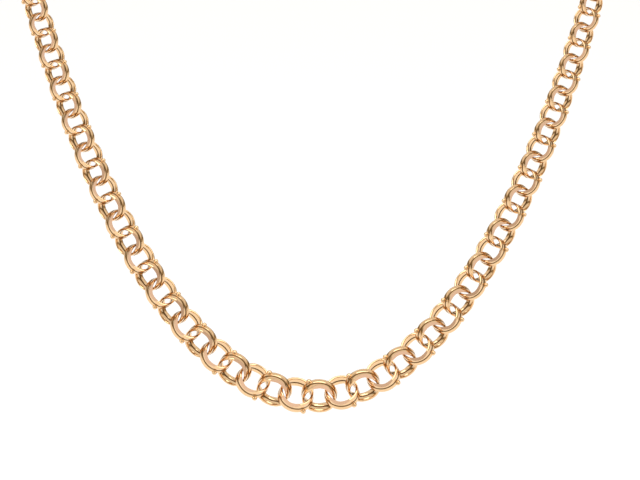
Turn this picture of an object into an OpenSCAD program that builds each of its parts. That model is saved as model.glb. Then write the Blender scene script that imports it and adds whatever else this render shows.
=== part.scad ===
// Graduated neck chain of round double links, closed by a plain barrel clasp.
// Millimetres. The chain keeps the form that it has when it is worn: the front hangs in a deep U
// on the sloping chest, and the rest goes round the neck in a smooth curve.
// +Z is up, -Y is the front, and +X is on the right as seen from the front. The origin is in the
// middle of the neck opening, level with the nape.

/* [Front curve] */
// Half the width of the front U at its upper ends
front_half_w = 67; // [64:0.5:70]
// Height of the front U, measured along the chest
front_drop = 95; // [90:1:100]
// How round the bottom of the U is: larger is rounder
front_round = 75; // [65:1:90]
// Slope of the chest, from upright
chest_slope = 30; // [24:1:36]

/* [Round the neck] */
// How far the upper ends of the U lie in front of the origin
side_y = 8; // [6:0.5:10]
// How far the upper ends of the U lie below the nape
side_drop = 25; // [22:0.5:28]
// How far the nape lies behind the origin
nape_y = 46; // [44:0.5:48]
// How far the chain has slid round the neck, to the left as seen from the front
slid = 1.3; // [0:0.1:4]

/* [Links] */
// Outer diameter of the two largest links, at the front centre
link_od = 8.5; // [8.4:0.05:8.7]
// Share by which each link is smaller than its neighbour towards the centre
link_shrink = 0.014; // [0.012:0.001:0.015]
// Width of one of the two wires of the largest link, across the band
wire_w = 1.56; // [1.42:0.02:1.62]
// Thickness of that wire, between the inside and the outside of the link
wire_t = 0.62; // [0.56:0.01:0.66]
// How much closer together the links lie than a wire's width apart inside their holes
link_play = 0.16; // [0.08:0.02:0.24]
// Lean of each link about the chain's own line, to one side and to the other in turn
link_lean = 40; // [38:0.5:42]
// Turn of each link towards its broad crossing
link_turn = 6; // [4:0.5:8]
// How far the rolled flats on the front and the back lie from the middle of the largest link
flat_at = 3.3; // [3.15:0.05:3.5]
// Tilt of the flats, which lie deeper beside the broad crossing
flat_tilt = 8; // [4:1:12]
// Diameter of the solder bead on the largest link
bead_d = 1.3; // [1.1:0.05:1.4]
// Place of the bead round its link, from the line of the chain
bead_at = 122; // [116:1:126]

/* [Clasp] */
// Length of the barrel
clasp_len = 9; // [8:0.5:11]
// Diameter of the barrel
clasp_d = 4; // [3.6:0.1:4.4]
// Outer diameter of the rings between the chain and the clasp
ring_od = 4.2; // [4:0.1:4.4]
// Wire of those rings and of the barrel's two eyes
ring_wire = 0.64; // [0.56:0.02:0.7]

/* [Hidden] */
// Clear space between parts that hook into each other
play = 0.3;
// Colours
rose_gold = [0.84, 0.62, 0.43];
// Facets of round shapes, for the preview
round_fn = 48;
small_fn = 16;

// The front U is z = front_round * (cosh(x / front_spread) - 1), in the plane of the chest.
drop_ratio = 1 + front_drop / front_round;
front_spread = front_half_w / ln(drop_ratio + sqrt(drop_ratio * drop_ratio - 1));
function cosh(u) = (exp(u) + exp(-u)) / 2;
function sinh(u) = (exp(u) - exp(-u)) / 2;

// Directions in the plane of the chest, and the way that the chest faces
chest_up = [0, sin(chest_slope), cos(chest_slope)];
chest_face = [0, -cos(chest_slope), sin(chest_slope)];
// The way that the chain faces on the shoulder and on the nape
shoulder_face = [0.9, 0, 0.7];
nape_face = [0, 0.94, 0.34];

// Upper end of the U, and the chain's direction there
side_point = [front_half_w, -side_y, -side_drop];
side_rise = front_round / front_spread * sinh(front_half_w / front_spread);
side_dir = ([1, 0, 0] + side_rise * chest_up) / norm([1, side_rise]);
nape_point = [0, nape_y, 0];
// The stretch round the neck is one cubic curve, with these handles.
side_handle = 0.7 * (side_y + nape_y);
nape_handle = 0.63 * front_half_w;

function front_point(x) =
    side_point - [front_half_w - x, 0, 0]
    - (front_drop - front_round * (cosh(x / front_spread) - 1)) * chest_up;
function neck_point(t) =
    pow(1 - t, 3) * side_point
    + 3 * t * pow(1 - t, 2) * (side_point + side_handle * side_dir)
    + 3 * t * t * (1 - t) * (nape_point + [nape_handle, 0, 0])
    + pow(t, 3) * nape_point;
function neck_face(t) =
    pow(1 - t, 2) * chest_face + 2 * t * (1 - t) * shoulder_face + t * t * nape_face;

// Half of the route, from the front centre to the nape, as points with the way that the chain
// faces, and the length of the route up to each of them
steps = 80;
half_route = concat(
    [for (i = [0 : steps]) front_point(front_half_w * i / steps)],
    [for (i = [1 : steps]) neck_point(i / steps)]
);
half_face = concat(
    [for (i = [0 : steps]) chest_face],
    [for (i = [1 : steps]) neck_face(i / steps)]
);
route_len = [
    for (i = 0, s = 0; i < len(half_route);
         i = i + 1, s = s + (i < len(half_route) ? norm(half_route[i] - half_route[i - 1]) : 0))
    s
];
half_len = route_len[len(route_len) - 1];

// Values along the route, looked up by length from the front centre
function column(list, c) = [for (i = [0 : len(list) - 1]) [route_len[i], list[i][c]]];
route_x = column(half_route, 0);
route_y = column(half_route, 1);
route_z = column(half_route, 2);
face_x = column(half_face, 0);
face_y = column(half_face, 1);
face_z = column(half_face, 2);
function on_side(s, x, y, z) =
    [(s < 0 ? -1 : 1) * lookup(abs(s), x), lookup(abs(s), y), lookup(abs(s), z)];
// Length s counts from the middle of the chain, which has slid to the left of the front centre.
function from_centre(s) = let (c = s - slid) c < -half_len ? c + 2 * half_len : c;
function place(s) = on_side(from_centre(s), route_x, route_y, route_z);
function faces(s) = on_side(from_centre(s), face_x, face_y, face_z);

// The frame of the chain at length s: along it, across it, and out of the face that shows
function unit(v) = v / norm(v);
function along(s) = unit(place(s + 0.5) - place(s - 0.5));
function out(s) = unit(faces(s) - (faces(s) * along(s)) * along(s));
function frame_at(s) = [along(s), cross(out(s), along(s)), out(s)];

// Puts what is drawn at the origin at a place, along three axes, at a size
module put(at, axes, size = 1) {
    multmatrix([
        [size * axes[0].x, size * axes[1].x, size * axes[2].x, at.x],
        [size * axes[0].y, size * axes[1].y, size * axes[2].y, at.y],
        [size * axes[0].z, size * axes[1].z, size * axes[2].z, at.z]
    ]) children();
}

// Sizes of one link at full size
link_r = (link_od - wire_t) / 2;
wire_overlap = 0.08 * wire_t;
wire_off = (wire_w - wire_overlap) / 2;
bead_r = link_od / 2 + 0.05 * bead_d;
bead_off = wire_off + 0.25 * wire_w;
// Distance between the centres of the two largest links
pitch = link_od - 2 * wire_t - wire_w - link_play;

// Links are numbered from 1 up on the right and from 0 down on the left of the front centre.
keep = 1 - link_shrink;
function link_size(k) = pow(keep, abs(k - 0.5));
function spaced(k) = pitch * (0.5 + keep * (1 - pow(keep, k - 1)) / link_shrink);

// Lengths that the clasp and its end ring take, from the nape to the centre of the last link
eye_r = ring_wire * 1.7;
eye_x = clasp_len / 2 + eye_r - ring_wire * 0.3;
ring_r = (ring_od - ring_wire) / 2;
ring_x = eye_x + eye_r - ring_wire - play + ring_r;
links_guess = (half_len - ring_x - link_od / 3) / pitch - 0.5;
links_per_side = round(1 + ln(1 - links_guess * link_shrink / keep) / ln(keep));
end_size = link_size(links_per_side);
// The end ring's wire bends round the band of the last link, which takes a little more length.
end_band = end_size * wire_w;
ring_in = ring_r - ring_wire / 2;
end_grip = sqrt(ring_in * ring_in - end_band * end_band);
end_x = ring_x + end_grip - play + end_size * (link_r - wire_t / 2);
spread = (half_len - end_x) / spaced(links_per_side);
function link_s(k) = spread * (k > 0 ? spaced(k) : -spaced(1 - k));

// Axes of a link in the frame of the chain: it leans top forward, and has its broad crossing on
// its right.
lean_n = unit([-tan(link_turn), -tan(link_lean), 1]);
lean_u = unit([1, 0, 0] - lean_n.x * lean_n);
lean_v = cross(lean_n, lean_u);

// A link with an odd number lies so. One with an even number is turned half a turn about the way
// that the chain faces.
function link_axes(k) =
    let (f = frame_at(link_s(k)), turn = k % 2 == 0 ? -1 : 1)
    [for (v = [lean_u, lean_v, lean_n]) turn * v.x * f[0] + turn * v.y * f[1] + v.z * f[2]];

// One wire of a link in section, flat on the inside and the outside, with round edges
module wire_section() {
    square([wire_t, wire_w - wire_t], center = true);
    for (y = [-1, 1]) {
        translate([0, y * (wire_w - wire_t) / 2])
        circle(d = wire_t, $fn = small_fn);
    }
}

// What the roller takes off a link, on the front and on the back of the chain
module rolled_off() {
    multmatrix([
        [lean_u.x, lean_u.y, lean_u.z, 0],
        [lean_v.x, lean_v.y, lean_v.z, 0],
        [lean_n.x, lean_n.y, lean_n.z, 0]
    ])
    rotate([0, flat_tilt, 0])
    for (z = [-1, 1]) {
        translate([0, 0, z * (flat_at + link_od / 2)])
        cube([2 * link_od, 2 * link_od, link_od], center = true);
    }
}

// A double link: two rings of wire side by side, soldered together and rolled flat where they
// stand proud, with a bead of solder on the back ring beside the small crossing
module double_link() {
    difference() {
        rotate_extrude($fn = round_fn)
        for (y = [-1, 1]) {
            translate([link_r, y * wire_off])
            wire_section();
        }
        rolled_off();
    }
    rotate([0, 0, bead_at])
    translate([bead_r, 0, -bead_off])
    sphere(d = bead_d, $fn = small_fn);
}

module links(first, last) {
    for (k = [first : last]) {
        put(place(link_s(k)), link_axes(k), link_size(k))
        double_link();
    }
}

module chain_left() {
    color(rose_gold)
    links(1 - links_per_side, 0);
}

module chain_right() {
    color(rose_gold)
    links(1, links_per_side);
}

// Lean of the last link on one side: the end ring is square to it, and so is the eye to the ring.
function end_lean(sign) =
    let (k = sign > 0 ? links_per_side : 1 - links_per_side)
    k % 2 == 0 ? -link_lean : link_lean;
function leaning(f, lean) =
    let (n = cos(lean) * f[2] - sin(lean) * f[1])
    [f[0], cross(n, f[0]), n];

clasp_point = place(half_len);
clasp_frame = frame_at(half_len);

// The ring that joins the last link to the clasp's eye
module end_ring(sign) {
    s = sign * (half_len - ring_x);
    put(place(s), leaning(frame_at(s), end_lean(sign) - 90))
    rotate_extrude($fn = round_fn)
    translate([ring_r, 0])
    circle(d = ring_wire, $fn = small_fn);
}

module end_ring_left() {
    color(rose_gold)
    end_ring(-1);
}

module end_ring_right() {
    color(rose_gold)
    end_ring(1);
}

// A plain barrel with rounded ends and an eye at each end
module barrel() {
    soft = clasp_d * 0.2;
    rotate([0, 90, 0])
    rotate_extrude($fn = round_fn) {
        translate([0, -clasp_len / 2])
        square([clasp_d / 2 - soft, clasp_len]);
        translate([0, soft - clasp_len / 2])
        square([clasp_d / 2, clasp_len - 2 * soft]);
        for (y = [-1, 1]) {
            translate([clasp_d / 2 - soft, y * (clasp_len / 2 - soft)])
            circle(r = soft, $fn = small_fn);
        }
    }
}

module eye(sign) {
    put(-sign * eye_x * clasp_frame[0], leaning(clasp_frame, end_lean(sign)))
    rotate_extrude($fn = round_fn)
    translate([eye_r, 0])
    circle(d = ring_wire, $fn = small_fn);
}

module clasp() {
    color(rose_gold)
    translate(clasp_point) {
        put([0, 0, 0], clasp_frame)
        barrel();
        eye(-1);
        eye(1);
    }
}

chain_left();
chain_right();
end_ring_left();
end_ring_right();
clasp();
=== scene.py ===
# %% [markdown]
# # A graduated chain of double rings in rose gold
# The solid parts of the necklace come in first and stay where they are. The links are then
# modelled again with a finer surface, because a jeweller's chain is all edges, grooves and flats.

# %% Load the solid parts
import math
import random

import bpy
from mathutils import Matrix, Vector


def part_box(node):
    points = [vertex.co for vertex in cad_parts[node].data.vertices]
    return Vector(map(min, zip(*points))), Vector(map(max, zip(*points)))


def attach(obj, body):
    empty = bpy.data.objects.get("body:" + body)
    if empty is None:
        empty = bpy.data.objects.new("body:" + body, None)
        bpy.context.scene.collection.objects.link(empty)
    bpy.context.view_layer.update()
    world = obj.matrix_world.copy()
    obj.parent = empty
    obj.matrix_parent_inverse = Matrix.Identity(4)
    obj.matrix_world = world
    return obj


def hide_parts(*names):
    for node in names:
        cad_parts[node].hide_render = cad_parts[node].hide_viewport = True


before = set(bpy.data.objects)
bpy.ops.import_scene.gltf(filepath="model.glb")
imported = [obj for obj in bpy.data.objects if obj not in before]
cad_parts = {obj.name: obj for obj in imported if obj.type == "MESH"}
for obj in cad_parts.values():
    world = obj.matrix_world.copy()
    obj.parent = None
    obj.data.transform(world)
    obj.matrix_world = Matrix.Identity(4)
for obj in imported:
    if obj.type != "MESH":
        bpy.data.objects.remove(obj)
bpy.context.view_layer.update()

MM = 0.001
print("solid parts:", sorted(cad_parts))

# %% [markdown]
# ## The line that the chain hangs in
# A hanging chain takes the curve of a hyperbolic cosine. Here it lies on the sloping chest, and
# one cubic curve carries it on round the neck on each side. The sizes are those of the solids.

# %% Sizes of the necklace, in millimetres
FRONT_HALF_W = 67
FRONT_DROP = 95
FRONT_ROUND = 75
CHEST_SLOPE = math.radians(30)
SIDE_Y = 8
SIDE_DROP = 25
NAPE_Y = 46
SLID = 1.3
LINK_OD = 8.5
WIRE_W = 1.56
WIRE_T = 0.62
LINK_PLAY = 0.16
KEEP = 1 - 0.014
CLASP_LEN = 9
RING_OD = 4.2
RING_WIRE = 0.64
HOOK_PLAY = 0.3

# %% Directions on the chest and round the neck
SIDE_PULL = 0.7
NAPE_PULL = 0.63
CHEST_UP = Vector((0, math.sin(CHEST_SLOPE), math.cos(CHEST_SLOPE)))
CHEST_FACE = Vector((0, -math.cos(CHEST_SLOPE), math.sin(CHEST_SLOPE)))
SHOULDER_FACE = Vector((0.9, 0, 0.7))
NAPE_FACE = Vector((0, 0.94, 0.34))
SIDE_POINT = Vector((FRONT_HALF_W, -SIDE_Y, -SIDE_DROP))
NAPE_POINT = Vector((0, NAPE_Y, 0))
front_spread = FRONT_HALF_W / math.acosh(1 + FRONT_DROP / FRONT_ROUND)
side_rise = FRONT_ROUND / front_spread * math.sinh(FRONT_HALF_W / front_spread)
side_dir = (Vector((1, 0, 0)) + side_rise * CHEST_UP).normalized()
side_handle = SIDE_PULL * (SIDE_Y + NAPE_Y)
nape_handle = NAPE_PULL * FRONT_HALF_W
print("spread of the U:", round(front_spread, 2), "mm")


# %% Points of half the route, from the front centre to the nape
def front_point(x):
    height = FRONT_ROUND * (math.cosh(x / front_spread) - 1)
    return SIDE_POINT - Vector((FRONT_HALF_W - x, 0, 0)) - (FRONT_DROP - height) * CHEST_UP


def neck_point(t):
    first, second = SIDE_POINT + side_handle * side_dir, NAPE_POINT + Vector((nape_handle, 0, 0))
    return ((1 - t) ** 3 * SIDE_POINT + 3 * t * (1 - t) ** 2 * first
            + 3 * t * t * (1 - t) * second + t ** 3 * NAPE_POINT)


def neck_face(t):
    return (1 - t) ** 2 * CHEST_FACE + 2 * t * (1 - t) * SHOULDER_FACE + t * t * NAPE_FACE


STEPS = 80
route = [front_point(FRONT_HALF_W * i / STEPS) for i in range(STEPS + 1)]
route += [neck_point(i / STEPS) for i in range(1, STEPS + 1)]
faces = [CHEST_FACE] * (STEPS + 1) + [neck_face(i / STEPS) for i in range(1, STEPS + 1)]
lengths = [0]
for a, b in zip(route, route[1:]):
    lengths.append(lengths[-1] + (b - a).length)
half_len = lengths[-1]
print("length of the necklace:", round(2 * half_len, 1), "mm")


# %% A place on the route, and the chain's own directions there
AHEAD = 0.5


def look_up(values, s):
    s -= SLID
    if s < -half_len:
        s += 2 * half_len
    side = -1 if s < 0 else 1
    s = min(abs(s), half_len)
    i = max(j for j, at in enumerate(lengths[:-1]) if at <= s)
    share = (s - lengths[i]) / (lengths[i + 1] - lengths[i])
    v = values[i].lerp(values[i + 1], share)
    return Vector((side * v.x, v.y, v.z))


def chain_frame(s):
    along = (look_up(route, s + AHEAD) - look_up(route, s - AHEAD)).normalized()
    out = look_up(faces, s)
    out = (out - out.dot(along) * along).normalized()
    axes = Matrix((along, out.cross(along), out)).transposed()
    return Matrix.Translation(look_up(route, s)) @ axes.to_4x4()


# %% [markdown]
# ## How many links, and where
# The links shrink by the same share from each to the next, so their places follow a geometric
# series. A small spread makes the last link meet its end ring.

# %% Places of the links
pitch = LINK_OD - 2 * WIRE_T - WIRE_W - LINK_PLAY
link_r = (LINK_OD - WIRE_T) / 2
eye_r = 1.7 * RING_WIRE
ring_r = (RING_OD - RING_WIRE) / 2
ring_x = CLASP_LEN / 2 + 2 * eye_r - 1.3 * RING_WIRE - HOOK_PLAY + ring_r


def spaced(k):
    return pitch * (0.5 + KEEP * (1 - KEEP ** (k - 1)) / (1 - KEEP))


guess = (half_len - ring_x - LINK_OD / 3) / pitch - 0.5
LINKS = round(1 + math.log(1 - guess * (1 - KEEP) / KEEP) / math.log(KEEP))
end_size = KEEP ** (LINKS - 0.5)
end_grip = math.sqrt((ring_r - RING_WIRE / 2) ** 2 - (end_size * WIRE_W) ** 2)
end_x = ring_x + end_grip - HOOK_PLAY + end_size * (link_r - WIRE_T / 2)
spread = (half_len - end_x) / spaced(LINKS)
print("links on each side:", LINKS, "spread:", round(spread, 4))

# %% [markdown]
# ## Finishes
# Rose gold is a metal with a warm base colour. The rings are polished, and the rolled flats are
# a shade softer, as a roller leaves them; their colour is also made lighter, which is painted
# light for the light that the flats catch. The narrow groove between the two rings gets a dark
# colour, which is painted shade for the shade that falls in the groove.


# %% Materials
def metal(name, colour, roughness):
    material = bpy.data.materials.new(name)
    material.use_nodes = True
    shader = material.node_tree.nodes["Principled BSDF"]
    shader.inputs["Base Color"].default_value = (*colour, 1)
    shader.inputs["Metallic"].default_value = 1
    shader.inputs["Roughness"].default_value = roughness
    return material


polished_gold = metal("polished rose gold", (0.87, 0.59, 0.33), 0.15)
# The flats are a shade rougher, as a roller leaves them, and their colour is lighter than the
# polished gold: painted light for the light that the flats catch.
rolled_gold_painted_light = metal("rolled rose gold, painted lighter", (0.93, 0.60, 0.40), 0.2)
# A dark colour for the groove between the two rings: painted shade, not a colour of the metal.
painted_seam_shade = metal("painted seam shade", (0.24, 0.13, 0.05), 0.45)

# %% [markdown]
# ## One link
# The real link is two rings of wire, rolled a little flat, soldered side by side. A ring is a
# section spun round, so the section is drawn once as a small rectangle with rounded corners and
# spun about the middle of the link.


# %% Helpers
def nothing_selected():
    bpy.ops.object.select_all(action="DESELECT")


def finish_place():
    bpy.ops.object.transform_apply(location=True, rotation=True, scale=True)


# %% The section of one wire, spun into a ring
RING_STEPS = 48
CORNER = 0.46
SOLDERED = 0.08
CLOSE = 0.001


def wire_ring(height):
    nothing_selected()
    bpy.ops.mesh.primitive_plane_add(size=1, location=(link_r, height, 0))
    ring = bpy.context.object
    ring.scale = (WIRE_T, WIRE_W, 1)
    finish_place()
    bpy.ops.object.mode_set(mode="EDIT")
    bpy.ops.mesh.select_all(action="SELECT")
    bpy.ops.mesh.bevel(offset=CORNER * WIRE_T, segments=2, affect="VERTICES", profile=0.5)
    bpy.ops.mesh.delete(type="ONLY_FACE")
    bpy.ops.mesh.select_all(action="SELECT")
    bpy.ops.mesh.spin(steps=RING_STEPS, angle=2 * math.pi, center=(0, 0, 0), axis=(0, 1, 0))
    bpy.ops.mesh.select_all(action="SELECT")
    bpy.ops.mesh.remove_doubles(threshold=CLOSE)
    bpy.ops.mesh.normals_make_consistent(inside=False)
    bpy.ops.object.mode_set(mode="OBJECT")
    return ring


wire_off = (WIRE_W - SOLDERED * WIRE_T) / 2
ring, back_ring = wire_ring(wire_off), wire_ring(-wire_off)
print("faces of one ring:", len(ring.data.polygons))

# %% The painted seam shade: the two facets of each ring that lie next to the other ring get a dark colour for the shade in the groove
SHADED_SEAM_WIDTH = 0.17
for half in (ring, back_ring):
    for finish in (polished_gold, rolled_gold_painted_light, painted_seam_shade):
        half.data.materials.append(finish)
    # The faces next to the joint get the painted seam shade, a dark colour for the shade in the
    # groove.
    seam = [face for face in half.data.polygons if abs(face.center.y) < SHADED_SEAM_WIDTH]
    for face in seam:
        face.material_index = 2
    print("seam faces:", len(seam))

# %% [markdown]
# A bead of solder closes each link. It sits on the outer edge of the back ring, and the whole
# link is bent a little, so that it opens towards its broad crossing.

# %% Two rings, the bead and the bend
BEAD_D = 1.28
BEAD_AT = math.radians(122)
BEAD_OUT = 0.05
BEAD_BACK = 0.25
BEND_ANGLE = math.radians(16)
bead_r = LINK_OD / 2 + BEAD_OUT * BEAD_D
bead_off = wire_off + BEAD_BACK * WIRE_W
nothing_selected()
bpy.ops.mesh.primitive_uv_sphere_add(
    segments=12, ring_count=8, radius=BEAD_D / 2,
    location=(bead_r * math.cos(BEAD_AT), -bead_off, -bead_r * math.sin(BEAD_AT)))
finish_place()
bead = bpy.context.object
bead.data.materials.append(polished_gold)
for piece in (ring, back_ring, bead):
    piece.select_set(True)
bpy.context.view_layer.objects.active = ring
bpy.ops.object.join()
bend = ring.modifiers.new("bend", "SIMPLE_DEFORM")
bend.deform_method = "BEND"
bend.deform_axis = "Z"
bend.angle = BEND_ANGLE
bpy.ops.object.modifier_apply(modifier="bend")
rise = max(v.co.y for v in ring.data.vertices) - wire_off - WIRE_W / 2
print("the bend lifts the ends by", round(rise, 2), "mm")

# %% [markdown]
# The link leans about the line of the chain, and turns towards its broad crossing. What then
# stands proud at the front and the back is rolled flat. A roller leaves a true plane with a crisp
# edge, so the mesh is cut by a plane and filled there. The planes tilt a little, and take more
# away beside the broad crossing.

# %% The lean, and the rolled flats
LINK_LEAN = math.radians(40)
LINK_TURN = math.radians(6)
FLAT_AT = 3.3
FLAT_TILT = math.radians(8)
normal = Vector((-math.tan(LINK_TURN), -math.tan(LINK_LEAN), 1)).normalized()
across = Vector((1, 0, 0)) - normal.x * normal
across.normalize()
lean = Matrix((across, normal, across.cross(normal))).transposed()
nothing_selected()
ring.select_set(True)
bpy.context.view_layer.objects.active = ring
ring.matrix_world = lean.to_4x4()
finish_place()
flat_normal = Vector((math.sin(FLAT_TILT), 0, math.cos(FLAT_TILT)))
bpy.ops.object.mode_set(mode="EDIT")
for side in (1, -1):
    bpy.ops.mesh.select_all(action="SELECT")
    bpy.ops.mesh.bisect(
        plane_co=side * FLAT_AT * flat_normal, plane_no=side * flat_normal,
        use_fill=True, clear_outer=True)
bpy.ops.object.mode_set(mode="OBJECT")
print("faces of a rolled link:", len(ring.data.polygons))

# %% Finish of the flats: softer, and painted lighter for the light they catch
flats = [face for face in ring.data.polygons
         if abs(face.center.dot(flat_normal)) > FLAT_AT - CLOSE]
for face in flats:
    face.material_index = 1
print("flat faces on a link:", len(flats))

# %% Smooth shading, with crisp edges round the flats
CRISP_ANGLE = math.radians(38)
nothing_selected()
ring.select_set(True)
bpy.context.view_layer.objects.active = ring
bpy.ops.object.shade_smooth_by_angle(angle=CRISP_ANGLE)
rims = {key for face in flats for key in face.edge_keys}
for edge in ring.data.edges:
    if edge.key in rims:
        edge.use_edge_sharp = True
for face in flats:
    face.use_smooth = False

# %% [markdown]
# ## The two halves of the chain
# Each link is a copy with its own mesh. Every second one is turned by half a turn about the way
# that the chain faces, which makes the broad and the small crossings take turns.

# %% Copies along the route
HALF_TURN = Matrix.Rotation(math.pi, 4, "Z")
WANDER = math.radians(0.6)
uneven = random.Random(7)


def link_copy(k):
    link = ring.copy()
    link.data = ring.data.copy()
    bpy.context.collection.objects.link(link)
    place = spread * (spaced(k) if k > 0 else -spaced(1 - k))
    turn = Matrix.Identity(4) if k % 2 else HALF_TURN
    wander = Matrix.Rotation(uneven.uniform(-WANDER, WANDER), 4, "Y")
    size = Matrix.Scale(KEEP ** abs(k - 0.5), 4)
    link.matrix_world = Matrix.Scale(MM, 4) @ chain_frame(place) @ turn @ wander @ size
    return link


def half_chain(name, numbers):
    nothing_selected()
    links = [link_copy(k) for k in numbers]
    for link in links:
        link.select_set(True)
    bpy.context.view_layer.objects.active = links[0]
    finish_place()
    bpy.ops.object.join()
    chain = bpy.context.object
    chain.name = chain.data.name = name
    print(name, len(chain.data.polygons), "faces")
    return chain


links_left = half_chain("links_left", range(1 - LINKS, 1))
links_right = half_chain("links_right", range(1, LINKS + 1))
bpy.data.objects.remove(ring)

# %% They stand for the solid halves
for chain, node in ((links_left, "chain_left"), (links_right, "chain_right")):
    low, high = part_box(node)
    at = [chain.matrix_world @ v.co for v in chain.data.vertices]
    print(node, "solid from", [round(c / MM, 1) for c in low],
          "to", [round(c / MM, 1) for c in high])
    print("   links from", [round(min(p[i] for p in at) / MM, 1) for i in range(3)],
          "to", [round(max(p[i] for p in at) / MM, 1) for i in range(3)])
    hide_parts(node)
    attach(chain, "root")

# %% Finish of the clasp and its rings
for node in ("clasp", "end_ring_left", "end_ring_right"):
    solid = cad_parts[node]
    solid.data.materials.clear()
    solid.data.materials.append(polished_gold)

# %% [markdown]
# ## Stage, light and camera
# The floor is plain and pale and lies well below the necklace. Polished metal shows what is
# round it, so the light comes from large soft panels with darker room between them.

# %% Floor
FLOOR_Z = -0.32
FLOOR_SIZE = 12
PAPER_WHITE = (0.95, 0.95, 0.95, 1)
nothing_selected()
bpy.ops.mesh.primitive_plane_add(size=FLOOR_SIZE, location=(0, 0, FLOOR_Z))
finish_place()
floor = bpy.context.object
floor.name = "floor"
paper = bpy.data.materials.new("white paper")
paper.use_nodes = True
paper_shader = paper.node_tree.nodes["Principled BSDF"]
paper_shader.inputs["Base Color"].default_value = PAPER_WHITE
paper_shader.inputs["Roughness"].default_value = 1
floor.data.materials.append(paper)

# %% Room and light panels
room = bpy.data.worlds.new("room")
room.use_nodes = True
nodes, links = room.node_tree.nodes, room.node_tree.links
direction = nodes.new("ShaderNodeTexCoord")
height = nodes.new("ShaderNodeSeparateXYZ")
shade = nodes.new("ShaderNodeValToRGB")
links.new(direction.outputs["Generated"], height.inputs[0])
links.new(height.outputs["Z"], shade.inputs[0])
links.new(shade.outputs[0], nodes["Background"].inputs["Color"])
shade.color_ramp.elements[0].position = 0.14
shade.color_ramp.elements[0].color = (0.16, 0.12, 0.05, 1)
shade.color_ramp.elements[1].position = 0.95
shade.color_ramp.elements[1].color = (0.62, 0.62, 0.62, 1)
middle = shade.color_ramp.elements.new(0.4)
middle.color = (0.98, 0.95, 0.9, 1)
bpy.context.scene.world = room
bpy.context.scene.view_settings.view_transform = "Standard"
MIDDLE = Vector((0, -0.03, -0.06))


def panel(name, place, width, height, watts):
    light = bpy.data.lights.new(name, "AREA")
    light.shape = "RECTANGLE"
    light.size, light.size_y = width, height
    light.energy = watts
    lamp = bpy.data.objects.new(name, light)
    bpy.context.collection.objects.link(lamp)
    lamp.location = place
    lamp.rotation_euler = (MIDDLE - Vector(place)).to_track_quat("-Z", "Y").to_euler()
    return lamp


panel("top panel", (0, 0.1, 1.2), 1.6, 1.0, 10)
panel("left panel", (-1.1, -0.6, 0.5), 0.35, 1.0, 3)
panel("right panel", (1.1, -0.5, 0.4), 0.3, 1.0, 2)

# %% Camera, square to the chest
PX = 0.24
FRAME_W, FRAME_H = 640, 480
CENTRE_X, BOTTOM_Y = 313, 396
DISTANCE = 650
SENSOR_W = 36
seen_x = (FRAME_W / 2 - CENTRE_X) * PX
seen_up = (BOTTOM_Y - FRAME_H / 2) * PX
bottom = front_point(0)
target = bottom + Vector((seen_x, 0, 0)) + seen_up * CHEST_UP
camera = bpy.data.objects.new("camera", bpy.data.cameras.new("camera"))
bpy.context.collection.objects.link(camera)
camera.location = (target + DISTANCE * CHEST_FACE) * MM
camera.rotation_euler = (-CHEST_FACE).to_track_quat("-Z", "Y").to_euler()
camera.data.sensor_width = SENSOR_W
camera.data.lens = SENSOR_W * DISTANCE / (FRAME_W * PX)
bpy.context.scene.camera = camera
